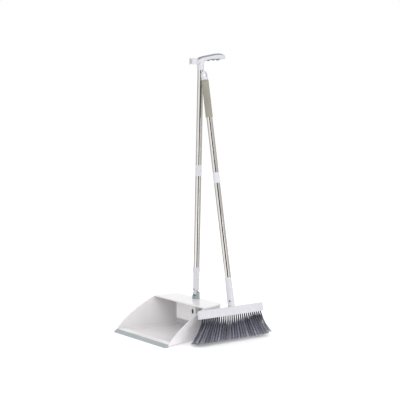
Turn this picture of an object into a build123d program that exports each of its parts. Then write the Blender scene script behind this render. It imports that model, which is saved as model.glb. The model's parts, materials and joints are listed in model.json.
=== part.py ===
"""Upright dust pan with a hinged handle, and the long-handled broom that leans on it.

Millimetres.  The pan stands on z = 0 with its mouth towards -Y and its width along X.
The origin is on the flat underside of the pan's floor, on the centre line.
"""
from build123d import *
import os
from math import cos, radians, sin

os.makedirs("parts", exist_ok=True)
BASE = (Align.CENTER, Align.CENTER, Align.MIN)

# ---------------------------------------------------------------- clearances
fit_gap = 0.1               # between parts that slide into each other
seat_gap = 0.05             # between parts that are fixed together
thread_gap = 0.02           # round a screw or a pin in its hole
floor_gap = 0.2             # under the bristle tips

# ---------------------------------------------------------------- pan dimensions
lip_y = -125.0              # front edge of the lip strip
rear_y = 125.0              # outside of the rear wall
pan_height = 102.5          # top of the hood
hood_front_y = 39.5         # front edge of the hood
floor_front_y = -112.0      # front edge of the moulded floor, behind the lip strip
front_wall_height = 8.5     # height of the side walls where they meet the lip
wall_rim = ((0, 85), (-40, 64), (-80, 38), (-100, 20.5))    # points of the side walls' curved rim
wall = 2.4                  # moulded wall thickness
pan_depth = rear_y - lip_y
mid_half_width = 122.2      # half width at y = 0, z = 0
width_taper = 0.14          # half width lost per millimetre towards the rear
wall_flare = 0.15           # half width gained per millimetre of height
floor_edge_radius = 9.0     # rounding along the floor's sides and back
rear_corner_radius = 24.0   # rear corners, seen from above
hood_edge_radius = 4.5
ramp_profile = ((-110.5, 1.2), (-110.5, 8.4), (-94, 11.5), (-91, 11.0), (-84, 1.2))
strip_height = 8.2          # height of the rubber lip strip at its back
lip_height = 1.4            # and at its front edge
lip_half_width = 137.0
strip_overhang = 1.0        # past the side of the floor, at the back of the strip
strip_edge_radius = 0.5
housing_half_width = 50.0   # box inside the pan, under the hinge
housing_front_y = 66.0
housing_bottom = 36.0
housing_wall = 2.0
housing_chamfer = 8.0       # clears the pan's rounded rear edge
housing_corner_radius = 3.0
housing_edge_radius = 2.0

# ---------------------------------------------------------------- hinge
pin_y = 109.5
pin_z = 119.0
pin_radius = 2.0
bracket_half_width = 10.0
bracket_front_y = 101.5
bracket_back_y = 117.0
bracket_base_top = 111.0
bracket_front_top = 110.5   # the ears slope up from here
ear_slope_end = (104.8, 117.0)          # corners of the ears' outline, as (y, z)
ear_front_shoulder = (107.0, 124.0)
ear_crown = (112.5, 127.2)
ear_back_shoulder = (117.0, 123.0)
ear_gap_half = 6.3
web_thickness = 2.5
web_top = 112.0             # the web holds the unfolded handle just past upright
washer_thickness = 0.5
washer_radius = 5.0
tongue_radius = 5.2
pin_head_radius = 3.2
pin_head_height = 1.2

# ---------------------------------------------------------------- screws
screw_radius = 1.4
screw_hole_radius = 1.5
screw_head_radius = 3.0
screw_head_height = 1.8
screw_length = 13.0
screw_edge_radius = 0.6
screw_end_gap = 0.5         # between a screw's end and the bottom of its hole
bracket_head_radius = 2.7
bracket_screw_depth = 7.0
bracket_screw_ys = (105.5, 113.0)
housing_screw_places = ((-45, 50), (45, 50), (-45, 85), (45, 85))
lug_radius = 4.0
lug_length = 8.0
slot_place = (36, 71.5)
slot_height = 16.5
slot_width = 10.0

# ---------------------------------------------------------------- tubes
tube_radius = 9.5
tube_wall = 0.6
spigot_radius = tube_radius - tube_wall - seat_gap
connector_radius = 10.1
connector_bevel = (0.5, 0.8)
stud_radius = 6.0
stud_length = 14.0
stud_hole_depth = 15.0
spigot_length = 22.0
socket_hole_radius = 2.9
socket_hole_depth = 6.5
socket_screw_length = 3.4

# ---------------------------------------------------------------- pan handle, measured from the pin
handle_lean = 1.5           # degrees the handle leans back, towards +Y
socket_bottom = 11.0
socket_top = 88.0
# Outline of the socket above the hinge tongue, as (radius, height).
socket_profile = (
    (0, 9.5), (6.0, 9.5), (10.0, 13.5), (10.2, 71.5), (11.0, 73.0), (11.0, 87.4), (10.4, socket_top),
)
pan_connector_bottom = 388.0
pan_connector_top = 424.0
t_socket_bottom = 731.0
t_socket_depth = 24.0       # how far the tube goes into the T-handle
screw_hole_height = 14.5
screw_hole_front = -12.0    # plane in front of the socket from which its screw hole is sunk

# ---------------------------------------------------------------- broom, measured along its axis
broom_foot = (196.0, 110.0, 0.0)    # where the broom's centre line meets the floor
broom_lean_x = 11.9         # degrees towards the pan's handle
broom_lean_y = 1.22         # degrees towards +Y
broom_yaw = 5.0             # turn of the head from the Y axis
bristle_end = 4.0
head_bottom = 80.0
head_top = 106.0
head_length = 249.0
head_flat_length = 200.0    # length of the parallel part, between the chamfered ends
head_shift = -3.0           # the head's middle, from the handle's axis
head_thickness = 27.0
head_end_thickness = 10.0
head_edge_radius = 1.8
head_narrowing = 1.0        # how much thinner the head is at its top
cover_wall = 2.4
cover_top_wall = 4.0
block_margin = 2.6
block_narrowing = 0.4
block_thickness = 8.0
boss_radius = 11.0          # round the handle's threaded foot
boss_gap = 2.0
collar_radius = 11.6
collar_sink = 3.0
collar_height = 5.5
collar_taper = 4.0
stud_bore_bottom = 90.0
stud_bore_length = 30.0
broom_socket_top = 198.5
# Outline of the broom's socket and its threaded foot, as (radius, height).
broom_socket_profile = (
    (0, 91.0), (stud_radius, 91.0), (stud_radius, 108.6), (11.0, 108.6),
    (10.2, 184.5), (10.2, 197.7), (9.8, broom_socket_top),
)
broom_connector_bottom = 501.0
broom_connector_top = 535.0
grip_top = 835.5
# Outline of the rubber sleeve, with a ring groove near its top, as (radius, height).
grip_profile = (
    (9.55, 714.5), (10.9, 714.5), (11.5, 715.3), (11.5, 830.0), (10.9, 830.5), (10.9, 831.1),
    (11.5, 831.6), (11.5, 834.6), (10.9, 835.4), (9.55, 835.4),
)
cap_radius = 11.0
cap_top_radius = 9.0
cap_shoulder = 4.0
cap_height = 10.0
loop_top = 866.0
broom_hole_height = 123.5
broom_hole_radius = 2.5
broom_hole_turn = 39.0      # degrees round the socket, from the end of the head
broom_hole_side = -13.0     # plane beside the socket from which its screw hole is sunk
row_offsets = (-9.6, -3.2, 3.2, 9.6)     # rows of bristles, across the head
root_row_share = 0.85        # how far out the rows stand at the block
tip_row_share = 1.9          # and at the floor
root_row_thickness = 4.6
tip_row_thickness = 11.4
row_root_lengths = (206.0, 232.0, 232.0, 206.0)
bristle_tip_length = 297.0
bristle_drift = -14.0       # the tips lean towards the pan's mouth
block_screw_places = ((-98, 0), (-38, 0), (32, 0), (92, 0))
block_screw_length = 13.0
block_screw_sink = 0.2
loop_outer_width = 23.0
loop_outer_height = 34.0
loop_thickness = 6.0
loop_wall = 4.0
loop_hole_width = 14.0
loop_hole_height = 18.0


def half_width(y, z):
    """Half of the pan's outer width at depth y and height z."""
    return mid_half_width - width_taper * y + wall_flare * z


def pan_outline(inset, height):
    """Plan of the pan at one height, moved inwards by inset."""
    front = half_width(lip_y, height) - inset
    rear = half_width(rear_y, height) - inset
    back = rear_y - inset
    with BuildSketch(Plane.XY.offset(height)) as outline:
        with BuildLine():
            Polyline((-front, lip_y), (front, lip_y), (rear, back), (-rear, back), close=True)
        make_face()
        fillet(outline.vertices().group_by(Axis.Y)[-1], rear_corner_radius - inset)
    return outline.sketch


def pan_form(inset, bottom, top):
    """The pan's outer form, or the hollow inside it, with rounded long edges."""
    with BuildPart() as form:
        add(pan_outline(inset, bottom))
        add(pan_outline(inset, top))
        loft(ruled=True)
        fillet(form.faces().sort_by(Axis.Z)[0].edges().sort_by(Axis.Y)[1:], floor_edge_radius - inset)
        fillet(form.faces().sort_by(Axis.Z)[-1].edges().sort_by(Axis.Y)[1:], hood_edge_radius - inset)
    return form.part


handle_axis = Vector(0, sin(radians(handle_lean)), cos(radians(handle_lean)))
handle_plane = Plane(origin=(0, pin_y, pin_z), x_dir=(1, 0, 0), z_dir=handle_axis)
handle_side = Plane(origin=(0, pin_y, pin_z), x_dir=handle_plane.y_dir, z_dir=(1, 0, 0))

broom_axis = Vector(
    -sin(radians(broom_lean_x)) * cos(radians(broom_lean_y)),
    sin(radians(broom_lean_y)),
    cos(radians(broom_lean_x)) * cos(radians(broom_lean_y)),
)
level_length = Vector(sin(radians(broom_yaw)), cos(radians(broom_yaw)), 0)
head_direction = (level_length - broom_axis * level_length.dot(broom_axis)).normalized()
broom_plane = Plane(origin=broom_foot, x_dir=head_direction, z_dir=broom_axis)
broom_side = Plane(origin=broom_foot, x_dir=head_direction, z_dir=broom_plane.y_dir * -1)

# ================================================================ pan
with BuildPart() as pan_shell:
    add(pan_form(0, 0, pan_height))
    with BuildSketch(Plane.YZ):
        with BuildLine():
            Polyline(
                (floor_front_y, front_wall_height),
                (floor_front_y, 0),
                (rear_y, 0),
                (rear_y, pan_height),
                (hood_front_y, pan_height),
            )
            Spline((hood_front_y, pan_height), *wall_rim, (floor_front_y, front_wall_height))
        make_face()
    extrude(amount=2 * mid_half_width, both=True, mode=Mode.INTERSECT)
    add(pan_form(wall, wall, pan_height - wall), mode=Mode.SUBTRACT)
    # A low ramp behind the lip strip keeps the sweepings in.
    ramp_half_width = half_width(floor_front_y, wall) - wall - floor_edge_radius / 2
    with BuildSketch(Plane.YZ):
        with BuildLine():
            Polyline(*ramp_profile, close=True)
        make_face()
    extrude(amount=ramp_half_width, both=True)
    # Screw holes: two in the hood for the hinge bracket, four in the rear wall for the housing.
    for screw_y in bracket_screw_ys:
        with BuildSketch(Plane.XY.offset(pan_height - 2 * wall)):
            with Locations((0, screw_y)):
                Circle(screw_hole_radius)
        extrude(amount=3 * wall, mode=Mode.SUBTRACT)
    with BuildSketch(Plane.XZ.offset(-rear_y)):
        with Locations(*housing_screw_places):
            Circle(screw_hole_radius)
    extrude(amount=2 * wall, mode=Mode.SUBTRACT)

with BuildPart() as lip_strip:
    with BuildSketch(Plane.YZ):
        with BuildLine():
            Polyline(
                (lip_y, 0),
                (floor_front_y - fit_gap, 0),
                (floor_front_y - fit_gap, strip_height),
                (lip_y, lip_height),
                close=True,
            )
        make_face()
    extrude(amount=pan_depth, both=True)
    strip_half_width = half_width(floor_front_y, 0) + strip_overhang
    with BuildSketch(Plane.XY):
        with BuildLine():
            Polyline(
                (-lip_half_width, lip_y),
                (lip_half_width, lip_y),
                (strip_half_width, floor_front_y),
                (-strip_half_width, floor_front_y),
                close=True,
            )
        make_face()
    extrude(amount=strip_height, mode=Mode.INTERSECT)
    fillet(lip_strip.edges().filter_by(Axis.X).group_by(Axis.Y)[0], strip_edge_radius)

with BuildPart() as hinge_housing:
    housing_top = pan_height - wall - fit_gap
    housing_back_y = rear_y - wall - fit_gap
    with BuildSketch(Plane.YZ):
        with BuildLine():
            Polyline(
                (housing_front_y, housing_bottom),
                (housing_back_y, housing_bottom),
                (housing_back_y, housing_top - housing_chamfer),
                (housing_back_y - housing_chamfer, housing_top),
                (housing_front_y, housing_top),
                close=True,
            )
        make_face()
    extrude(amount=housing_half_width, both=True)
    fillet(hinge_housing.faces().sort_by(Axis.Y)[0].edges().filter_by(Axis.Z), housing_corner_radius)
    fillet(hinge_housing.faces().sort_by(Axis.Z)[0].edges().sort_by(Axis.Y)[0], housing_edge_radius)
    with BuildSketch(Plane.YZ):
        with Locations((housing_front_y + housing_wall, housing_bottom + housing_wall)):
            Rectangle(pan_depth, pan_height, align=(Align.MIN, Align.MIN))
    extrude(amount=housing_half_width - housing_wall, both=True, mode=Mode.SUBTRACT)
    # Finger slot in the front, to the right.
    with BuildSketch(Plane.XZ.offset(-housing_front_y)):
        with Locations(slot_place):
            SlotOverall(slot_height, slot_width, rotation=90)
    extrude(amount=-2 * housing_wall, mode=Mode.SUBTRACT)
    # Lugs at the back take the screws through the rear wall.
    for screw_x, screw_z in housing_screw_places:
        with BuildSketch(Plane.XZ.offset(-housing_back_y)):
            with Locations((screw_x, screw_z)):
                Circle(lug_radius)
                Circle(screw_radius, mode=Mode.SUBTRACT)
        extrude(amount=lug_length)

with BuildPart() as housing_screws:
    for screw_x, screw_z in housing_screw_places:
        with Locations(Plane(origin=(screw_x, rear_y + screw_head_height, screw_z), z_dir=(0, -1, 0))):
            Cylinder(screw_head_radius, screw_head_height, align=BASE)
            Cylinder(screw_radius - thread_gap, screw_length, align=BASE)
    fillet(housing_screws.faces().group_by(Axis.Y)[-1].edges(), screw_edge_radius)

# ================================================================ hinge
with BuildPart() as hinge_bracket:
    with BuildSketch(Plane.YZ):
        with BuildLine():
            Polyline(
                ear_back_shoulder,
                (bracket_back_y, pan_height + seat_gap),
                (bracket_front_y, pan_height + seat_gap),
                (bracket_front_y, bracket_front_top),
                ear_slope_end,
                ear_front_shoulder,
            )
            ThreePointArc(ear_front_shoulder, ear_crown, ear_back_shoulder)
        make_face()
    extrude(amount=bracket_half_width, both=True)
    # Room for the tongue, open to the back and closed by a web at the front.
    with BuildSketch(Plane.YZ):
        with Locations((bracket_front_y + web_thickness, bracket_base_top)):
            Rectangle(pan_depth, pan_height, align=(Align.MIN, Align.MIN))
    extrude(amount=ear_gap_half, both=True, mode=Mode.SUBTRACT)
    with BuildSketch(Plane.YZ):
        with Locations((bracket_front_y - web_thickness, web_top)):
            Rectangle(pan_depth, pan_height, align=(Align.MIN, Align.MIN))
    extrude(amount=ear_gap_half, both=True, mode=Mode.SUBTRACT)
    with BuildSketch(Plane.YZ.offset(-bracket_half_width)):
        with Locations((pin_y, pin_z)):
            Circle(pin_radius)
    extrude(amount=2 * bracket_half_width, mode=Mode.SUBTRACT)
    for screw_y in bracket_screw_ys:
        with BuildSketch(Plane.XY.offset(pan_height)):
            with Locations((0, screw_y)):
                Circle(screw_radius)
        extrude(amount=bracket_screw_depth, mode=Mode.SUBTRACT)

bracket_screw_length = screw_head_height + wall + bracket_screw_depth - screw_end_gap
with BuildPart() as bracket_screws:
    for screw_y in bracket_screw_ys:
        with Locations((0, screw_y, pan_height - wall - screw_head_height)):
            Cylinder(bracket_head_radius, screw_head_height, align=BASE)
            Cylinder(screw_radius - thread_gap, bracket_screw_length, align=BASE)

with BuildPart() as hinge_pin:
    with Locations(Plane(origin=(-bracket_half_width - fit_gap, pin_y, pin_z), z_dir=(1, 0, 0))):
        Cylinder(pin_radius - thread_gap, 2 * (bracket_half_width + fit_gap), align=BASE)
    with Locations(Plane(origin=(-bracket_half_width - fit_gap, pin_y, pin_z), z_dir=(-1, 0, 0))):
        Cylinder(pin_head_radius, pin_head_height, align=BASE)
    with Locations(Plane(origin=(bracket_half_width + fit_gap, pin_y, pin_z), z_dir=(1, 0, 0))):
        Cylinder(pin_head_radius, pin_head_height, align=BASE)

with BuildPart() as hinge_washers:
    for side in (-1, 1):
        with Locations(Plane(origin=(side * (ear_gap_half - seat_gap), pin_y, pin_z), z_dir=(-side, 0, 0))):
            Cylinder(washer_radius, washer_thickness, align=BASE)
            Cylinder(pin_radius, washer_thickness, align=BASE, mode=Mode.SUBTRACT)

# ================================================================ pan handle
with BuildPart() as handle_socket:
    tongue_half = ear_gap_half - washer_thickness - 2 * fit_gap
    with BuildSketch(handle_side):
        with BuildLine():
            Line((-tongue_radius, 0), (-tongue_radius, socket_bottom))
            Line((-tongue_radius, socket_bottom), (tongue_radius, socket_bottom))
            Line((tongue_radius, socket_bottom), (tongue_radius, 0))
            ThreePointArc((tongue_radius, 0), (0, -tongue_radius), (-tongue_radius, 0))
        make_face()
    extrude(amount=tongue_half, both=True)
    with BuildSketch(handle_side):
        with BuildLine():
            Polyline(
                *socket_profile,
                (spigot_radius, socket_top),
                (spigot_radius, socket_top + spigot_length),
                (0, socket_top + spigot_length),
                close=True,
            )
        make_face()
    revolve(axis=Axis(handle_plane.origin, handle_axis))
    # Blind hole for the screw that pins the socket's core, facing the pan's mouth.
    hole_front = handle_plane.from_local_coords((0, screw_hole_front, screw_hole_height))
    with BuildSketch(Plane(origin=hole_front, x_dir=(1, 0, 0), z_dir=handle_plane.y_dir)):
        Circle(socket_hole_radius)
    extrude(amount=socket_hole_depth, mode=Mode.SUBTRACT)
    with BuildSketch(Plane(origin=handle_plane.from_local_coords((0, 0, 0)), z_dir=(1, 0, 0))):
        Circle(pin_radius + seat_gap)
    extrude(amount=bracket_half_width, both=True, mode=Mode.SUBTRACT)

hole_floor = handle_plane.from_local_coords((0, screw_hole_front + socket_hole_depth, screw_hole_height))
with BuildPart() as handle_socket_screw:
    with Locations(Plane(origin=hole_floor, z_dir=handle_plane.y_dir * -1)):
        Cylinder(socket_hole_radius - fit_gap, socket_screw_length, align=BASE)

with BuildPart(handle_plane.offset(socket_top)) as handle_lower_tube:
    lower_tube_length = pan_connector_bottom - socket_top
    Cylinder(tube_radius, lower_tube_length, align=BASE)
    Cylinder(tube_radius - tube_wall, lower_tube_length, align=BASE, mode=Mode.SUBTRACT)


def connector_half(side_plane, axis, joint_height, outer_height, stud):
    """Half of a tube joint: shoulder, spigot, and a stud or, for a length below zero, its hole."""
    up = 1 if outer_height > joint_height else -1
    spigot_end = outer_height + up * spigot_length
    with BuildPart() as half:
        with BuildSketch(side_plane):
            with BuildLine():
                Polyline(
                    (0, joint_height),
                    (connector_radius, joint_height),
                    (connector_radius, outer_height - up * connector_bevel[1]),
                    (connector_radius - connector_bevel[0], outer_height),
                    (spigot_radius, outer_height),
                    (spigot_radius, spigot_end),
                    (0, spigot_end),
                    close=True,
                )
            make_face()
        revolve(axis=axis)
        with BuildSketch(side_plane):
            with BuildLine():
                end = joint_height - up * stud
                radius = stud_radius if stud > 0 else stud_radius + fit_gap
                Polyline((0, joint_height), (radius, joint_height), (radius, end), (0, end), close=True)
            make_face()
        revolve(axis=axis, mode=Mode.ADD if stud > 0 else Mode.SUBTRACT)
    return half


handle_line = Axis(handle_plane.origin, handle_axis)
pan_joint = (pan_connector_bottom + pan_connector_top) / 2
handle_lower_connector = connector_half(
    handle_side, handle_line, pan_joint - fit_gap, pan_connector_bottom, -stud_hole_depth)
handle_upper_connector = connector_half(
    handle_side, handle_line, pan_joint, pan_connector_top, stud_length)

with BuildPart(handle_plane.offset(pan_connector_top)) as handle_upper_tube:
    upper_tube_length = t_socket_bottom + t_socket_depth - pan_connector_top
    Cylinder(tube_radius, upper_tube_length, align=BASE)
    Cylinder(tube_radius - tube_wall, upper_tube_length, align=BASE, mode=Mode.SUBTRACT)

# ================================================================ T-handle
# Stations along the grip: distance behind the tube, centre height, half width, half height.
grip_stations = (
    (-17.0, 757.5, 8.0, 8.5),
    (0.0, 764.5, 11.0, 10.0),
    (26.0, 771.5, 12.0, 9.0),
    (58.0, 777.0, 12.5, 10.0),
    (87.0, 778.5, 11.5, 9.0),
    (97.5, 777.5, 8.0, 6.5),
)
finger_bumps = ((32.0, 769.0), (52.5, 771.5), (71.0, 772.5))
bump_radius = 7.5
clip_place = (0, -30.0)
clip_outer_radius = 12.8
clip_inner_radius = 10.2
clip_bottom = 749.5
clip_top = 767.0
clip_lip_bottom = 747.5
clip_lip_top = 769.5
clip_mouth_angle = 46.0
inset_depth = 4.6
inset_zone_top = ((94, 800), (-17, 800))
finger_zone_edge = ((18, 763.5), (40, 768.5), (62, 770.5), (80, 771.5))
finger_zone_bottom = ((80, 755), (18, 755))
zone_half_width = 20.0
t_socket_radius = 11.2
t_socket_top = 763.0
clip_arm_place = (0, -19.0)     # the arm that joins the clip to the socket
clip_arm_width = 14.0
clip_arm_length = 10.0
clip_lip_radius = 2.0
clip_mouth_offset = 3.0
clip_mouth_depth = 12.0


def grip_body():
    """The grip of the T-handle: oval sections blended along a gentle arch."""
    with BuildPart() as grip:
        for back, height, half_wide, half_high in grip_stations:
            with BuildSketch(Plane(origin=handle_plane.from_local_coords((0, back, height)),
                                   x_dir=(1, 0, 0), z_dir=handle_plane.y_dir * -1)):
                Ellipse(half_wide, half_high)
        loft()
    return grip.part


def inset_zone():
    """The band along the top of the grip that is taken up by the soft inset."""
    with BuildPart() as zone:
        with BuildSketch(handle_side):
            with BuildLine():
                lower_edge = Spline(*[(back, height + half_high - inset_depth)
                                      for back, height, _, half_high in grip_stations[:-1]])
                Polyline(lower_edge @ 1, *inset_zone_top, lower_edge @ 0)
            make_face()
        extrude(amount=zone_half_width, both=True)
    return zone.part


def finger_zone():
    """The band along the underside of the grip that is taken up by the finger rest."""
    with BuildPart() as zone:
        with BuildSketch(handle_side):
            with BuildLine():
                upper_edge = Spline(*finger_zone_edge)
                Polyline(upper_edge @ 1, *finger_zone_bottom, upper_edge @ 0)
            make_face()
        extrude(amount=zone_half_width, both=True)
    return zone.part


with BuildPart() as t_handle:
    add(grip_body())
    with BuildSketch(handle_plane.offset(t_socket_bottom)):
        Circle(t_socket_radius)
    extrude(amount=t_socket_top - t_socket_bottom)
    with BuildSketch(handle_plane.offset(clip_bottom)):
        with Locations(clip_arm_place):
            Rectangle(clip_arm_width, clip_arm_length)
    extrude(amount=clip_top - clip_bottom)
    with BuildSketch(handle_plane.offset(clip_bottom)):
        with Locations(clip_place):
            Circle(clip_outer_radius)
    extrude(amount=clip_top - clip_bottom)
    clip_radius = (clip_outer_radius + clip_inner_radius) / 2
    mouth_x = clip_radius * sin(radians(clip_mouth_angle))
    mouth_y = clip_place[1] - clip_radius * cos(radians(clip_mouth_angle))
    with BuildSketch(handle_plane.offset(clip_lip_bottom)):
        with Locations((-mouth_x, mouth_y), (mouth_x, mouth_y)):
            Circle(clip_lip_radius)
    extrude(amount=clip_lip_top - clip_lip_bottom)
    with BuildSketch(handle_plane.offset(clip_lip_bottom)):
        with Locations(clip_place):
            Circle(clip_inner_radius)
        with Locations((0, mouth_y - clip_mouth_offset)):
            Rectangle(2 * (mouth_x - clip_lip_radius), clip_mouth_depth)
    extrude(amount=clip_lip_top - clip_lip_bottom, mode=Mode.SUBTRACT)
    add(inset_zone(), mode=Mode.SUBTRACT)
    add(finger_zone(), mode=Mode.SUBTRACT)
    with BuildSketch(handle_plane.offset(t_socket_bottom)):
        Circle(tube_radius + seat_gap)
    extrude(amount=t_socket_depth + fit_gap, mode=Mode.SUBTRACT)

with BuildPart() as t_handle_inset:
    add(grip_body())
    add(inset_zone(), mode=Mode.INTERSECT)

with BuildPart() as finger_rest:
    add(grip_body())
    for back, height in finger_bumps:
        with Locations(handle_plane.from_local_coords((0, back, height))):
            Sphere(bump_radius)
    add(finger_zone(), mode=Mode.INTERSECT)

# ================================================================ broom head
flat_share = 0.4            # how far the chamfered ends' corners move for a margin of one
tip_share = 0.6


def head_outline(margin, narrowing):
    """Plan of the broom head: parallel sides with chamfered ends, moved inwards by margin."""
    end = head_length / 2 - margin
    flat = head_flat_length / 2 - margin * flat_share
    side = head_thickness / 2 - margin - narrowing
    tip = head_end_thickness / 2 - margin * tip_share - narrowing / 2
    corners = (
        (-end, -tip), (-flat, -side), (flat, -side), (end, -tip),
        (end, tip), (flat, side), (-flat, side), (-end, tip),
    )
    return [(along + head_shift, across) for along, across in corners]


with BuildPart() as broom_head_cover:
    for height, narrowing in ((head_bottom, 0), (head_top, head_narrowing)):
        with BuildSketch(broom_plane.offset(height)):
            with BuildLine():
                Polyline(*head_outline(narrowing / 2, narrowing), close=True)
            make_face()
    loft(ruled=True)
    fillet(broom_head_cover.faces().sort_by(Axis(broom_foot, broom_axis))[-1].edges(), head_edge_radius)
    with BuildSketch(broom_plane.offset(head_bottom)):
        with BuildLine():
            Polyline(*head_outline(cover_wall, block_narrowing), close=True)
        make_face()
    extrude(amount=head_top - head_bottom - cover_top_wall, mode=Mode.SUBTRACT)
    # Boss for the threaded foot of the handle socket.
    with BuildSketch(broom_plane.offset(head_bottom + block_thickness + fit_gap)):
        Circle(boss_radius)
    extrude(amount=head_top - head_bottom - block_thickness - boss_gap)
    with BuildSketch(broom_plane.offset(head_top - collar_sink)):
        Circle(collar_radius)
    extrude(amount=collar_height, taper=collar_taper)
    with BuildSketch(broom_plane.offset(stud_bore_bottom)):
        Circle(stud_radius + fit_gap)
    extrude(amount=stud_bore_length, mode=Mode.SUBTRACT)

with BuildPart() as bristle_block:
    with BuildSketch(broom_plane.offset(head_bottom)):
        with BuildLine():
            Polyline(*head_outline(block_margin, block_narrowing), close=True)
        make_face()
    extrude(amount=block_thickness)
    with BuildSketch(broom_plane.offset(head_bottom)):
        with Locations(*block_screw_places):
            Circle(screw_head_radius + fit_gap)
    extrude(amount=screw_head_height + block_screw_sink, mode=Mode.SUBTRACT)
    with BuildSketch(broom_plane.offset(head_bottom)):
        with Locations(*block_screw_places):
            Circle(screw_hole_radius)
    extrude(amount=block_thickness, mode=Mode.SUBTRACT)

with BuildPart() as block_screws:
    with BuildSketch(broom_plane.offset(head_bottom + block_screw_sink)):
        with Locations(*block_screw_places):
            Circle(screw_head_radius)
    extrude(amount=screw_head_height - fit_gap)
    with BuildSketch(broom_plane.offset(head_bottom + block_screw_sink)):
        with Locations(*block_screw_places):
            Circle(screw_radius)
    extrude(amount=block_screw_length)

# The bristles stand in four rows, which fan out and are bent flat where they meet the floor.
# The outer rows are shorter, because the head's ends are chamfered.
for number, row_offset in enumerate(row_offsets, start=1):
    with BuildPart() as bristle_row:
        with BuildSketch(broom_plane.offset(head_bottom - fit_gap)):
            with Locations((head_shift, row_offset * root_row_share)):
                Rectangle(row_root_lengths[number - 1], root_row_thickness)
        with BuildSketch(broom_plane.offset(bristle_end)):
            with Locations((bristle_drift, row_offset * tip_row_share)):
                Rectangle(bristle_tip_length, tip_row_thickness)
        loft(ruled=True)
        split(bisect_by=Plane.XY.offset(floor_gap), keep=Keep.TOP)
    bristle_row.part.label = f"bristle_row_{number}"
    export_step(bristle_row.part, f"parts/bristle_row_{number}.step")

# ================================================================ broom handle
broom_line = Axis(broom_foot, broom_axis)
with BuildPart() as broom_socket:
    with BuildSketch(broom_side):
        with BuildLine():
            Polyline(
                *broom_socket_profile,
                (spigot_radius, broom_socket_top),
                (spigot_radius, broom_socket_top + spigot_length),
                (0, broom_socket_top + spigot_length),
                close=True,
            )
        make_face()
    revolve(axis=broom_line)
    hole_turn = Vector(cos(radians(broom_hole_turn)), sin(radians(broom_hole_turn)), 0)
    hole_middle = Vector(0, 0, broom_hole_height)
    hole_inward = broom_plane.x_dir * hole_turn.X + broom_plane.y_dir * hole_turn.Y
    broom_hole_start = broom_plane.from_local_coords(hole_middle + hole_turn * broom_hole_side)
    with BuildSketch(Plane(origin=broom_hole_start, z_dir=hole_inward)):
        Circle(broom_hole_radius)
    extrude(amount=socket_hole_depth, mode=Mode.SUBTRACT)

with BuildPart() as broom_socket_screw:
    screw_end = hole_middle + hole_turn * (broom_hole_side + socket_hole_depth)
    with Locations(Plane(origin=broom_plane.from_local_coords(screw_end), z_dir=hole_inward * -1)):
        Cylinder(broom_hole_radius - fit_gap, socket_screw_length, align=BASE)

with BuildPart(broom_plane.offset(broom_socket_top)) as broom_lower_tube:
    broom_tube_length = broom_connector_bottom - broom_socket_top
    Cylinder(tube_radius, broom_tube_length, align=BASE)
    Cylinder(tube_radius - tube_wall, broom_tube_length, align=BASE, mode=Mode.SUBTRACT)

broom_joint = (broom_connector_bottom + broom_connector_top) / 2
broom_lower_connector = connector_half(
    broom_side, broom_line, broom_joint - fit_gap, broom_connector_bottom, -stud_hole_depth)
broom_upper_connector = connector_half(
    broom_side, broom_line, broom_joint, broom_connector_top, stud_length)

with BuildPart(broom_plane.offset(broom_connector_top)) as broom_upper_tube:
    Cylinder(tube_radius, grip_top - broom_connector_top, align=BASE)
    Cylinder(tube_radius - tube_wall, grip_top - broom_connector_top, align=BASE, mode=Mode.SUBTRACT)

with BuildPart() as grip_sleeve:
    with BuildSketch(broom_side):
        with BuildLine():
            Polyline(
                *grip_profile,
                close=True,
            )
        make_face()
    revolve(axis=broom_line)

with BuildPart() as hanging_cap:
    with BuildSketch(broom_side):
        with BuildLine():
            Polyline(
                (0, grip_top - spigot_length),
                (spigot_radius, grip_top - spigot_length),
                (spigot_radius, grip_top),
                (cap_radius, grip_top),
                (cap_radius, grip_top + cap_shoulder),
                (cap_top_radius, grip_top + cap_height),
                (0, grip_top + cap_height),
                close=True,
            )
        make_face()
    revolve(axis=broom_line)
    with BuildSketch(broom_side):
        with Locations((0, loop_top - loop_outer_height / 2)):
            Ellipse(loop_outer_width / 2, loop_outer_height / 2)
    extrude(amount=loop_thickness / 2, both=True)
    with BuildSketch(broom_side):
        with Locations((0, loop_top - loop_wall - loop_hole_height / 2)):
            SlotOverall(loop_hole_height, loop_hole_width, rotation=90)
    extrude(amount=cap_radius, both=True, mode=Mode.SUBTRACT)

# ================================================================ label and write every piece
pan_shell.part.label = "pan_shell"
export_step(pan_shell.part, "parts/pan_shell.step")
lip_strip.part.label = "lip_strip"
export_step(lip_strip.part, "parts/lip_strip.step")
hinge_housing.part.label = "hinge_housing"
export_step(hinge_housing.part, "parts/hinge_housing.step")
housing_screws.part.label = "housing_screws"
export_step(housing_screws.part, "parts/housing_screws.step")
hinge_bracket.part.label = "hinge_bracket"
export_step(hinge_bracket.part, "parts/hinge_bracket.step")
bracket_screws.part.label = "bracket_screws"
export_step(bracket_screws.part, "parts/bracket_screws.step")
hinge_pin.part.label = "hinge_pin"
export_step(hinge_pin.part, "parts/hinge_pin.step")
hinge_washers.part.label = "hinge_washers"
export_step(hinge_washers.part, "parts/hinge_washers.step")
handle_socket.part.label = "handle_socket"
export_step(handle_socket.part, "parts/handle_socket.step")
handle_socket_screw.part.label = "handle_socket_screw"
export_step(handle_socket_screw.part, "parts/handle_socket_screw.step")
handle_lower_tube.part.label = "handle_lower_tube"
export_step(handle_lower_tube.part, "parts/handle_lower_tube.step")
handle_lower_connector.part.label = "handle_lower_connector"
export_step(handle_lower_connector.part, "parts/handle_lower_connector.step")
handle_upper_connector.part.label = "handle_upper_connector"
export_step(handle_upper_connector.part, "parts/handle_upper_connector.step")
handle_upper_tube.part.label = "handle_upper_tube"
export_step(handle_upper_tube.part, "parts/handle_upper_tube.step")
t_handle.part.label = "t_handle"
export_step(t_handle.part, "parts/t_handle.step")
t_handle_inset.part.label = "t_handle_inset"
export_step(t_handle_inset.part, "parts/t_handle_inset.step")
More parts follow.
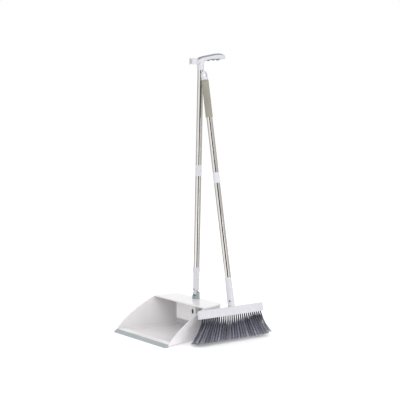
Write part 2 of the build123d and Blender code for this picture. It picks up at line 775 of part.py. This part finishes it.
finger_rest.part.label = "finger_rest"
export_step(finger_rest.part, "parts/finger_rest.step")
broom_head_cover.part.label = "broom_head_cover"
export_step(broom_head_cover.part, "parts/broom_head_cover.step")
bristle_block.part.label = "bristle_block"
export_step(bristle_block.part, "parts/bristle_block.step")
block_screws.part.label = "block_screws"
export_step(block_screws.part, "parts/block_screws.step")
broom_socket.part.label = "broom_socket"
export_step(broom_socket.part, "parts/broom_socket.step")
broom_socket_screw.part.label = "broom_socket_screw"
export_step(broom_socket_screw.part, "parts/broom_socket_screw.step")
broom_lower_tube.part.label = "broom_lower_tube"
export_step(broom_lower_tube.part, "parts/broom_lower_tube.step")
broom_lower_connector.part.label = "broom_lower_connector"
export_step(broom_lower_connector.part, "parts/broom_lower_connector.step")
broom_upper_connector.part.label = "broom_upper_connector"
export_step(broom_upper_connector.part, "parts/broom_upper_connector.step")
broom_upper_tube.part.label = "broom_upper_tube"
export_step(broom_upper_tube.part, "parts/broom_upper_tube.step")
grip_sleeve.part.label = "grip_sleeve"
export_step(grip_sleeve.part, "parts/grip_sleeve.step")
hanging_cap.part.label = "hanging_cap"
export_step(hanging_cap.part, "parts/hanging_cap.step")
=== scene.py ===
import json
import math
import random

import bmesh
import bpy
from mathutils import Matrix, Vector


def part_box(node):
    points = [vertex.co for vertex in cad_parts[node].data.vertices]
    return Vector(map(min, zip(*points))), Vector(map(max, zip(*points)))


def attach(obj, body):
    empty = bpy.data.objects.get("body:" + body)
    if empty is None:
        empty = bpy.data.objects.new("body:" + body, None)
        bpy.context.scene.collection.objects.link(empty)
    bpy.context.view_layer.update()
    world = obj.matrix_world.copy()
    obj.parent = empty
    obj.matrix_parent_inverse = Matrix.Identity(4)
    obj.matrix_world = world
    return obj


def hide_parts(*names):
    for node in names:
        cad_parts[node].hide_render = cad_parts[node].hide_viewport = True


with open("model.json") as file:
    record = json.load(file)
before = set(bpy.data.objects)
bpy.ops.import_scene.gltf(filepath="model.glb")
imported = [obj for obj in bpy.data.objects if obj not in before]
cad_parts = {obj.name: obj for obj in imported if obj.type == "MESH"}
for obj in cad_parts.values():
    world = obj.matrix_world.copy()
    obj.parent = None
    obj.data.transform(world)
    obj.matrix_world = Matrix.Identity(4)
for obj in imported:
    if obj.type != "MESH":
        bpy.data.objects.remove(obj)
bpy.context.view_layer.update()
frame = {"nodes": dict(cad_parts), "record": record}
nodes = frame["nodes"]
MM = 0.001

# ---------------------------------------------------------------- camera
CAMERA_PLACE = Vector((2.5186, -1.9400, 0.7683))
CAMERA_AZIMUTH = math.radians(50.63)
CAMERA_PITCH = math.radians(5.965)
view_direction = Vector((
    -math.sin(CAMERA_AZIMUTH) * math.cos(CAMERA_PITCH),
    math.cos(CAMERA_AZIMUTH) * math.cos(CAMERA_PITCH),
    -math.sin(CAMERA_PITCH),
))
camera_data = bpy.data.cameras.new("camera")
camera_data.lens = 90
camera_data.sensor_width = 36
camera_data.clip_end = 50
camera = bpy.data.objects.new("camera", camera_data)
camera.location = CAMERA_PLACE
camera.rotation_euler = view_direction.to_track_quat("-Z", "Y").to_euler()
bpy.context.scene.collection.objects.link(camera)
bpy.context.scene.camera = camera
bpy.context.scene.view_settings.view_transform = "Standard"


# ---------------------------------------------------------------- material helpers
CLOUD_SCALE = 7
GLOSS_SCALE = 60
GRAIN_DEPTH = 0.3 * MM


def start_material(name):
    """A new node material with its principled shader."""
    made = bpy.data.materials.new(name)
    made.use_nodes = True
    return made, made.node_tree, made.node_tree.nodes["Principled BSDF"]


def noise(tree, scale, detail=3.0, kind="ShaderNodeTexNoise"):
    """A noise or cell pattern in object space."""
    place = tree.nodes.new("ShaderNodeTexCoord")
    texture = tree.nodes.new(kind)
    texture.inputs["Scale"].default_value = scale
    if kind == "ShaderNodeTexNoise":
        texture.inputs["Detail"].default_value = detail
    tree.links.new(place.outputs["Object"], texture.inputs["Vector"])
    return texture.outputs[0]


def ramp(tree, value, stops):
    """A colour ramp over a value; stops are (position, colour)."""
    node = tree.nodes.new("ShaderNodeValToRGB")
    node.color_ramp.elements[0].position = stops[0][0]
    node.color_ramp.elements[0].color = (*stops[0][1], 1)
    node.color_ramp.elements[1].position = stops[-1][0]
    node.color_ramp.elements[1].color = (*stops[-1][1], 1)
    for position, colour in stops[1:-1]:
        node.color_ramp.elements.new(position).color = (*colour, 1)
    tree.links.new(value, node.inputs["Fac"])
    return node.outputs["Color"]


def spread(tree, value, low, high):
    """Maps a 0 to 1 pattern onto low to high."""
    node = tree.nodes.new("ShaderNodeMapRange")
    node.inputs["From Min"].default_value = 0.25
    node.inputs["From Max"].default_value = 0.75
    node.inputs["To Min"].default_value = low
    node.inputs["To Max"].default_value = high
    tree.links.new(value, node.inputs["Value"])
    return node.outputs["Result"]


def bump(tree, shader, value, strength, distance):
    """Adds a bump to the shader, on top of any that is there."""
    node = tree.nodes.new("ShaderNodeBump")
    node.inputs["Strength"].default_value = strength
    node.inputs["Distance"].default_value = distance
    earlier = shader.inputs["Normal"].links
    if earlier:
        tree.links.new(earlier[0].from_socket, node.inputs["Normal"])
    tree.links.new(value, node.inputs["Height"])
    tree.links.new(node.outputs["Normal"], shader.inputs["Normal"])


def moulded(name, dark, light, roughness, grain_scale, grain_strength,
            grain_kind="ShaderNodeTexNoise"):
    """Moulded plastic or rubber: cloudy colour, uneven gloss and a surface grain."""
    made, tree, shader = start_material(name)
    cloud = noise(tree, CLOUD_SCALE, 5)
    tree.links.new(ramp(tree, cloud, ((0.3, dark), (0.7, light))), shader.inputs["Base Color"])
    gloss = spread(tree, noise(tree, GLOSS_SCALE, 4), *roughness)
    tree.links.new(gloss, shader.inputs["Roughness"])
    bump(tree, shader, noise(tree, grain_scale, 2, kind=grain_kind), grain_strength, GRAIN_DEPTH)
    return made, tree, shader


# ---------------------------------------------------------------- materials
white_plastic, _, shader = moulded(
    "white_plastic", (0.565, 0.565, 0.605), (0.625, 0.625, 0.66), (0.20, 0.32), 700, 0.04)
shader.inputs["Coat Weight"].default_value = 0.2
shader.inputs["Coat Roughness"].default_value = 0.10

# The pan is glossy, with a fine grain on its floor that fades out up the walls.
GRAIN_TOP = 12 * MM
GRAIN_FULL = 4 * MM
pan_white, tree, shader = moulded(
    "pan_white", (0.755, 0.738, 0.75), (0.80, 0.785, 0.795), (0.12, 0.20), 500, 0.02)
shader.inputs["Coat Weight"].default_value = 0.35
shader.inputs["Coat Roughness"].default_value = 0.06
place = tree.nodes.new("ShaderNodeTexCoord")
split_place = tree.nodes.new("ShaderNodeSeparateXYZ")
tree.links.new(place.outputs["Object"], split_place.inputs["Vector"])
near_floor = tree.nodes.new("ShaderNodeMapRange")
near_floor.inputs["From Min"].default_value = GRAIN_TOP
near_floor.inputs["From Max"].default_value = GRAIN_FULL
tree.links.new(split_place.outputs["Z"], near_floor.inputs["Value"])
grain = tree.nodes.new("ShaderNodeMath")
grain.operation = "MULTIPLY"
tree.links.new(noise(tree, 420, 3), grain.inputs[0])
tree.links.new(near_floor.outputs["Result"], grain.inputs[1])
bump(tree, shader, grain.outputs[0], 0.5, 0.6 * MM)

grey_rubber = moulded(
    "grey_rubber", (0.32, 0.36, 0.375), (0.39, 0.43, 0.44), (0.55, 0.75), 1500, 0.25,
    "ShaderNodeTexVoronoi")[0]
grey_plastic = moulded(
    "grey_plastic", (0.25, 0.315, 0.30), (0.32, 0.385, 0.37), (0.38, 0.52), 1200, 0.15)[0]
soft_grey = moulded(
    "soft_grey", (0.19, 0.21, 0.235), (0.25, 0.27, 0.30), (0.50, 0.68), 1800, 0.30,
    "ShaderNodeTexVoronoi")[0]
olive_grip, _, shader = moulded(
    "olive_grip", (0.232, 0.224, 0.18), (0.298, 0.286, 0.236), (0.52, 0.72), 1300, 0.45,
    "ShaderNodeTexVoronoi")
shader.inputs["Sheen Weight"].default_value = 0.15
nylon, _, shader = moulded(
    "nylon", (0.62, 0.62, 0.59), (0.70, 0.70, 0.67), (0.35, 0.5), 900, 0.08)
shader.inputs["Subsurface Weight"].default_value = 0.1
# Near-black screws; set close to the socket surfaces, they also stand in for the shade inside the
# screw holes: painted shade.
dark_screws, _, shader = moulded(
    "dark_screws", (0.012, 0.012, 0.014), (0.030, 0.030, 0.033), (0.60, 0.80), 2500, 0.2)
shader.inputs["Specular IOR Level"].default_value = 0.1

steel_tube, tree, shader = start_material("steel_tube")
shader.inputs["Metallic"].default_value = 1.0
tube_colour = ramp(tree, noise(tree, 30, 3), (
    (0.25, (0.74, 0.725, 0.705)), (0.75, (0.82, 0.805, 0.785))))
tree.links.new(tube_colour, shader.inputs["Base Color"])
tree.links.new(spread(tree, noise(tree, 25, 3), 0.03, 0.05), shader.inputs["Roughness"])

steel_screws, tree, shader = start_material("steel_screws")
shader.inputs["Metallic"].default_value = 1.0
screw_colour = ramp(tree, noise(tree, 300, 4), (
    (0.3, (0.40, 0.40, 0.41)), (0.7, (0.56, 0.56, 0.56))))
tree.links.new(screw_colour, shader.inputs["Base Color"])
tree.links.new(spread(tree, noise(tree, 500, 3), 0.25, 0.45), shader.inputs["Roughness"])
bump(tree, shader, noise(tree, 2500, 2), 0.15, 0.1 * MM)

# A filament is dark at the block and pale at its tip; the dark at the block is partly painted shade
# from the head and the packed tufts. Each filament has a tone of its own, which also carries
# painted shade, darker on inner rows and at tuft edges.
bristle, tree, shader = start_material("bristle")
reach = tree.nodes.new("ShaderNodeAttribute")
reach.attribute_name = "reach"
tone_and_painted_shade = tree.nodes.new("ShaderNodeAttribute")
tone_and_painted_shade.attribute_name = "tone_and_painted_shade"
# Dark at the block, partly painted shade under the head and in the packed tufts; pale at the tip.
along = ramp(tree, reach.outputs["Fac"], (
    (0.0, (0.05, 0.05, 0.075)), (0.35, (0.17, 0.17, 0.22)), (0.8, (0.31, 0.31, 0.375)),
    (1.0, (0.43, 0.43, 0.48))))
# This ramp carries painted shade for inner rows and tuft edges, as well as each filament's own
# tone.
tone_and_shade_ramp = ramp(tree, tone_and_painted_shade.outputs["Fac"], (
    (0.0, (0.32, 0.32, 0.35)), (0.5, (0.85, 0.85, 0.87)), (0.8, (1.45, 1.45, 1.47)),
    (1.0, (2.5, 2.5, 2.45))))
mixed = tree.nodes.new("ShaderNodeMix")
mixed.data_type = "RGBA"
mixed.blend_type = "MULTIPLY"
mixed.inputs["Factor"].default_value = 1.0
tree.links.new(along, mixed.inputs["A"])
tree.links.new(tone_and_shade_ramp, mixed.inputs["B"])
tree.links.new(mixed.outputs["Result"], shader.inputs["Base Color"])
tree.links.new(spread(tree, noise(tree, 800, 2), 0.30, 0.45), shader.inputs["Roughness"])

finishes = {
    "white_plastic": white_plastic, "grey_rubber": grey_rubber, "grey_plastic": grey_plastic,
    "soft_grey": soft_grey, "olive_grip": olive_grip, "steel_tube": steel_tube,
    "steel_screws": steel_screws, "dark_screws": dark_screws, "nylon": nylon, "bristle": bristle,
}


def finish_with(obj, material):
    """Gives every face of an object one material."""
    obj.data.materials.clear()
    obj.data.materials.append(material)


for subpart in frame["record"]["subparts"]:
    finish_with(nodes[subpart["node"]], finishes[subpart["material_slot"]])
finish_with(nodes["pan_shell"], pan_white)
finish_with(nodes["hinge_housing"], pan_white)

# ---------------------------------------------------------------- broom bristles
# The broom's own frame: its foot on the floor, its axis, and the direction of its head.
broom_foot = Vector((0.196, 0.110, 0.0))
broom_lean_x = math.radians(11.9)
broom_lean_y = math.radians(1.22)
broom_yaw = math.radians(5.0)
broom_axis = Vector((
    -math.sin(broom_lean_x) * math.cos(broom_lean_y),
    math.sin(broom_lean_y),
    math.cos(broom_lean_x) * math.cos(broom_lean_y),
))
level_length = Vector((math.sin(broom_yaw), math.cos(broom_yaw), 0))
head_direction = (level_length - broom_axis * level_length.dot(broom_axis)).normalized()
head_across = broom_axis.cross(head_direction)

ROOT_HEIGHT = 80.5 * MM
TIP_HEIGHT = 4.0 * MM
ROOT_LENGTHS = (206 * MM, 232 * MM, 232 * MM, 206 * MM)
TIP_LENGTH = 297 * MM
HEAD_SHIFT = -3 * MM
TIP_DRIFT = -14 * MM
ROW_OFFSETS = (-9.6 * MM, -3.2 * MM, 3.2 * MM, 9.6 * MM)
ROOT_ROW_SHARE = 0.85
TIP_ROW_SHARE = 1.9
ROW_TIP_HALF = 5.7 * MM
ROW_TUFTS = (26, 29, 28, 25)
TUFT_PITCH = 8 * MM
FILAMENTS = 44
TUFT_RADIUS = 1.8 * MM
TUFT_TIP_RADII = (4.0 * MM, 4.4 * MM, 4.4 * MM, 4.0 * MM)
# Inner rows are darker: painted shade between the outer rows.
ROW_PAINTED_SHADES = (0.10, -0.28, -0.28, 0.10)
FLOOR_GAP = 0.35 * MM
EDGE_MARGIN = 0.4 * MM
RINGS = 7
SIDES = 4
ROW_SEED = 40
TUFT_LEAN = 0.35 * MM
TUFT_TONE = 0.12
FILAMENT_TONES = (0.25, 1.05)
# Darker tuft edges are painted shade between the tufts.
TUFT_EDGE_PAINTED_SHADE = 0.5        # filaments at the edge of a tuft are darker
FILAMENT_RADII = (0.20 * MM, 0.28 * MM)
STRAY_ALONG = 0.7 * MM
STRAY_ACROSS = 0.8 * MM
UNEVEN_TIPS = 1.2 * MM
SHORT_TIPS = 4 * MM         # a few filaments end this much higher
CORNER_START = 0.86         # share of the row's half length where its rounded corner starts
CORNER_RISE = 420 * MM
SPREAD_POWER = 1.25
BOW = 0.35 * MM
SIDE_BOW_SHARE = 0.5
SIDE_BOW_TURN = 5


def clamp(value, low, high):
    """The value, kept between two limits."""
    return min(max(value, low), high)


def filament_path(rng, row_offset, root_length, tip_radius, share, tuft_lean):
    """The centre points of one filament, and how far out in its tuft it stands, from 0 to 1."""
    angle = rng.uniform(0, 2 * math.pi)
    radius = math.sqrt(rng.random())
    stray = rng.gauss(0, STRAY_ALONG)
    root_along = share * root_length + HEAD_SHIFT + radius * TUFT_RADIUS * math.cos(angle)
    root_across = row_offset * ROOT_ROW_SHARE + radius * TUFT_RADIUS * math.sin(angle)
    tip_along = share * TIP_LENGTH + TIP_DRIFT + tuft_lean + stray
    tip_along += radius * tip_radius * math.cos(angle)
    half = TIP_LENGTH / 2 - EDGE_MARGIN
    tip_along = clamp(tip_along, TIP_DRIFT - half, TIP_DRIFT + half)
    row_centre = row_offset * TIP_ROW_SHARE
    row_half = ROW_TIP_HALF - EDGE_MARGIN
    tip_across = row_centre + radius * tip_radius * math.sin(angle) + rng.gauss(0, STRAY_ACROSS)
    tip_across = clamp(tip_across, row_centre - row_half, row_centre + row_half)
    corner = max(0.0, abs(share) * 2 - CORNER_START)
    tip_height = TIP_HEIGHT + rng.uniform(0, UNEVEN_TIPS)
    tip_height += rng.random() ** 6 * SHORT_TIPS + corner ** 2 * CORNER_RISE
    bow = rng.gauss(0, BOW)
    points = []
    for step in range(RINGS):
        part = step / (RINGS - 1)
        out = part ** SPREAD_POWER
        along = root_along + (tip_along - root_along) * out + bow * math.sin(part * math.pi)
        side_bow = bow * SIDE_BOW_SHARE * math.sin(part * SIDE_BOW_TURN)
        across = root_across + (tip_across - root_across) * out + side_bow
        height = ROOT_HEIGHT + (tip_height - ROOT_HEIGHT) * part
        point = broom_foot + head_direction * along + head_across * across + broom_axis * height
        point.z = max(point.z, FLOOR_GAP)
        points.append(point)
    return points, radius


def bristle_row(number, row_offset, root_length, tufts, tip_radius, row_painted_shade):
    """One row of tufted filaments, as one piece that stands for its CAD node."""
    rng = random.Random(ROW_SEED + number)
    corners, faces, reach_values, tone_and_painted_shade_values = [], [], [], []
    for tuft in range(tufts):
        share = (tuft - (tufts - 1) / 2) * TUFT_PITCH / root_length
        tuft_lean = rng.gauss(0, TUFT_LEAN)
        # The row's value is painted shade; the random part is the tuft's own tone.
        tuft_tone_and_painted_shade = row_painted_shade + rng.uniform(-TUFT_TONE, TUFT_TONE)
        for _ in range(FILAMENTS):
            points, radius = filament_path(
                rng, row_offset, root_length, tip_radius, share, tuft_lean)
            # The edge term is painted shade between tufts; the random part is the filament's own
            # tone.
            filament_tone_and_painted_shade = rng.uniform(*FILAMENT_TONES) - TUFT_EDGE_PAINTED_SHADE * radius ** 2 + tuft_tone_and_painted_shade
            filament_tone_and_painted_shade = clamp(filament_tone_and_painted_shade, 0, 1)
            thick = rng.uniform(*FILAMENT_RADII)
            start = len(corners)
            for ring, point in enumerate(points):
                for side in range(SIDES):
                    turn = 2 * math.pi * side / SIDES
                    corners.append(point + head_direction * (thick * math.cos(turn))
                                   + head_across * (thick * math.sin(turn)))
                    reach_values.append(ring / (RINGS - 1))
                    tone_and_painted_shade_values.append(filament_tone_and_painted_shade)
            for ring in range(RINGS - 1):
                for side in range(SIDES):
                    here = start + ring * SIDES + side
                    beside = start + ring * SIDES + (side + 1) % SIDES
                    faces.append((here, beside, beside + SIDES, here + SIDES))
            last = start + (RINGS - 1) * SIDES
            faces.append([start + side for side in reversed(range(SIDES))])
            faces.append([last + side for side in range(SIDES)])
    mesh = bpy.data.meshes.new(f"filaments_row_{number}")
    mesh.from_pydata(corners, [], faces)
    mesh.polygons.foreach_set("use_smooth", [True] * len(mesh.polygons))
    mesh.attributes.new("reach", "FLOAT", "POINT").data.foreach_set("value", reach_values)
    mesh.attributes.new("tone_and_painted_shade", "FLOAT", "POINT").data.foreach_set("value", tone_and_painted_shade_values)
    mesh.materials.append(bristle)
    piece = bpy.data.objects.new(f"filaments_row_{number}", mesh)
    bpy.context.scene.collection.objects.link(piece)
    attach(piece, "broom")
    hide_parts(f"bristle_row_{number}")


rows = zip(ROW_OFFSETS, ROOT_LENGTHS, ROW_TUFTS, TUFT_TIP_RADII, ROW_PAINTED_SHADES)
for number, row in enumerate(rows, start=1):
    bristle_row(number, *row)

# ---------------------------------------------------------------- cross-recess screws
HEAD_RINGS = 20
HEAD_SEGMENTS = 64
# The shape of a head, as shares of its radius or height.
RECESS_HALF_WIDTH = 0.16
RECESS_REACH = 0.60
RECESS_FLOOR = 0.25
RECESS_MIDDLE = 0.2
DOME_DROP = 0.30
RIM_HEIGHT = 0.45


def add_screw(build, centre, outward, head_radius, head_height, shank_radius, shank_length):
    """A domed screw head with a cross recess, and its shank, facing outward from centre."""
    outward = outward.normalized()
    across = outward.orthogonal().normalized()
    beside = outward.cross(across)
    arm_half = head_radius * RECESS_HALF_WIDTH
    arm_length = head_radius * RECESS_REACH
    rings = []
    for ring in range(1, HEAD_RINGS + 1):
        radius = head_radius * ring / HEAD_RINGS
        loop = []
        for segment in range(HEAD_SEGMENTS):
            turn = 2 * math.pi * segment / HEAD_SEGMENTS
            x, y = radius * math.cos(turn), radius * math.sin(turn)
            height = head_height * (1 - DOME_DROP * (ring / HEAD_RINGS) ** 2)
            if ring == HEAD_RINGS:
                height = head_height * RIM_HEIGHT
            in_arm = min(abs(x), abs(y)) < arm_half and max(abs(x), abs(y)) < arm_length
            if in_arm:
                height = head_height * RECESS_FLOOR
            loop.append(build.verts.new(centre + across * x + beside * y + outward * height))
        rings.append(loop)
    middle = build.verts.new(centre + outward * head_height * RECESS_MIDDLE)
    for segment in range(HEAD_SEGMENTS):
        after = (segment + 1) % HEAD_SEGMENTS
        build.faces.new((middle, rings[0][segment], rings[0][after]))
        for inner, outer in zip(rings, rings[1:]):
            build.faces.new((inner[segment], outer[segment], outer[after], inner[after]))
    profile = ((head_radius, 0.0), (shank_radius, 0.0), (shank_radius, -shank_length))
    earlier = rings[-1]
    for radius, height in profile:
        loop = []
        for segment in range(HEAD_SEGMENTS):
            turn = 2 * math.pi * segment / HEAD_SEGMENTS
            aside = across * (radius * math.cos(turn)) + beside * (radius * math.sin(turn))
            loop.append(build.verts.new(centre + aside + outward * height))
        for segment in range(HEAD_SEGMENTS):
            after = (segment + 1) % HEAD_SEGMENTS
            build.faces.new((earlier[segment], loop[segment], loop[after], earlier[after]))
        earlier = loop
    build.faces.new(list(reversed(earlier)))


def screw_piece(name, node, body, slot_name, places, sizes):
    """One piece of identical screws that stands for a CAD node."""
    build = bmesh.new()
    for centre, outward in places:
        add_screw(build, centre, outward, *sizes)
    bmesh.ops.recalc_face_normals(build, faces=build.faces)
    mesh = bpy.data.meshes.new(name)
    build.to_mesh(mesh)
    build.free()
    mesh.materials.append(finishes[slot_name])
    piece = bpy.data.objects.new(name, mesh)
    bpy.context.scene.collection.objects.link(piece)
    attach(piece, body)
    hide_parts(node)


# Sizes of the screws: head radius, head height, shank radius and shank length.
REAR_SCREW = (3.0 * MM, 1.8 * MM, 1.38 * MM, 11 * MM)
PAN_SOCKET_SCREW = (2.75 * MM, 1.0 * MM, 1.4 * MM, 2.2 * MM)
BROOM_SOCKET_SCREW = (2.35 * MM, 1.0 * MM, 1.2 * MM, 2.2 * MM)

rear_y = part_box("housing_screws")[1].y - REAR_SCREW[1]
rear_places = [
    (Vector((x * MM, rear_y, z * MM)), Vector((0, 1, 0))) for x in (-45, 45) for z in (50, 85)]
screw_piece("rear_screws", "housing_screws", "pan", "steel_screws", rear_places, REAR_SCREW)


def socket_screw(name, node, body, outward, lift, sizes):
    """The dark screw sunk in a handle's socket, lifted outward from its CAD node's centre; close to
    the surface its near-black head also stands in for the shade inside the hole, as painted shade.
    """
    low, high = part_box(node)
    centre = (low + high) / 2 + outward * lift
    screw_piece(name, node, body, "dark_screws", [(centre, outward)], sizes)


handle_lean = math.radians(1.5)
handle_front = Vector((0, -math.cos(handle_lean), math.sin(handle_lean)))
socket_screw("pan_socket_screw", "handle_socket_screw", "handle", handle_front, 1.5 * MM,
             PAN_SOCKET_SCREW)
screw_turn = math.radians(39)
broom_outward = -(head_direction * math.cos(screw_turn) + head_across * math.sin(screw_turn))
socket_screw("sweeper_socket_screw", "broom_socket_screw", "broom", broom_outward, 0.9 * MM,
             BROOM_SOCKET_SCREW)

# ---------------------------------------------------------------- floor, cards and lights
FLOOR_HALF = 6.0
FLOOR_DROP = 0.4 * MM
floor_material, tree, shader = start_material("floor")
floor_colour = ramp(tree, noise(tree, 3, 3), ((0.3, (0.80, 0.80, 0.80)), (0.7, (0.82, 0.82, 0.82))))
tree.links.new(floor_colour, shader.inputs["Base Color"])
shader.inputs["Emission Color"].default_value = (1, 1, 1, 1)
shader.inputs["Emission Strength"].default_value = 0.24
shader.inputs["Roughness"].default_value = 0.9
shader.inputs["Specular IOR Level"].default_value = 0.1
floor_mesh = bpy.data.meshes.new("floor")
floor_mesh.from_pydata(
    [(-FLOOR_HALF, -FLOOR_HALF, 0), (FLOOR_HALF, -FLOOR_HALF, 0), (FLOOR_HALF, FLOOR_HALF, 0),
     (-FLOOR_HALF, FLOOR_HALF, 0)], [], [(0, 1, 2, 3)])
floor_mesh.materials.append(floor_material)
floor = bpy.data.objects.new("floor", floor_mesh)
floor.location.z = -FLOOR_DROP
bpy.context.scene.collection.objects.link(floor)


CARD_STEPS = 12
CARD_TOP = 1.6
CARD_AROUND = Vector((0.05, 0.11))      # the middle of the two handles, on the floor


def card(name, centre_degrees, width_degrees, distance, colour):
    """A curved screen that only reflections see; its angles start from the camera's side."""
    card_material = bpy.data.materials.new(name)
    card_material.use_nodes = True
    card_tree = card_material.node_tree
    card_tree.nodes.clear()
    glow = card_tree.nodes.new("ShaderNodeEmission")
    glow.inputs["Color"].default_value = (*colour, 1)
    out = card_tree.nodes.new("ShaderNodeOutputMaterial")
    card_tree.links.new(glow.outputs["Emission"], out.inputs["Surface"])
    build = bmesh.new()
    earlier = None
    for step in range(CARD_STEPS + 1):
        degrees = centre_degrees + width_degrees * (step / CARD_STEPS - 0.5)
        turn = math.radians(degrees) + CAMERA_AZIMUTH
        x = CARD_AROUND.x + distance * math.sin(turn)
        y = CARD_AROUND.y - distance * math.cos(turn)
        pair = (build.verts.new((x, y, 0.0)), build.verts.new((x, y, CARD_TOP)))
        if earlier:
            build.faces.new((earlier[0], pair[0], pair[1], earlier[1]))
        earlier = pair
    mesh = bpy.data.meshes.new(name)
    build.to_mesh(mesh)
    build.free()
    mesh.materials.append(card_material)
    screen = bpy.data.objects.new(name, mesh)
    bpy.context.scene.collection.objects.link(screen)
    screen.visible_camera = False
    screen.visible_diffuse = False
    screen.visible_transmission = False
    screen.visible_shadow = False


card("card_front", 8, 40, 0.65, (0.02, 0.016, 0.013))
card("card_right", 76, 78, 1.1, (0.62, 0.60, 0.585))
card("card_left", -95, 34, 1.1, (0.60, 0.585, 0.57))
card("card_right_edge", 139, 48, 1.1, (0.34, 0.325, 0.315))
card("card_left_edge", -139, 48, 1.1, (0.34, 0.325, 0.315))

world = bpy.data.worlds.new("studio")
bpy.context.scene.world = world
world.use_nodes = True
world.node_tree.nodes["Background"].inputs["Color"].default_value = (1.0, 1.0, 1.0, 1)
world.node_tree.nodes["Background"].inputs["Strength"].default_value = 1.0


def softbox(name, place, aim, size, power):
    """A large square studio light."""
    data = bpy.data.lights.new(name, "AREA")
    data.size = size
    data.energy = power
    light = bpy.data.objects.new(name, data)
    light.location = place
    light.rotation_euler = (Vector(aim) - Vector(place)).to_track_quat("-Z", "Y").to_euler()
    bpy.context.scene.collection.objects.link(light)


softbox("key_light", (2.2, -1.0, 2.0), (0, 0.1, 0.15), 1.6, 16)
softbox("fill_light", (2.6, 0.3, 0.45), (0, 0, 0.1), 1.2, 9)
softbox("rim_light", (-1.6, 1.6, 2.2), (0, 0.1, 0.3), 1.2, 8)
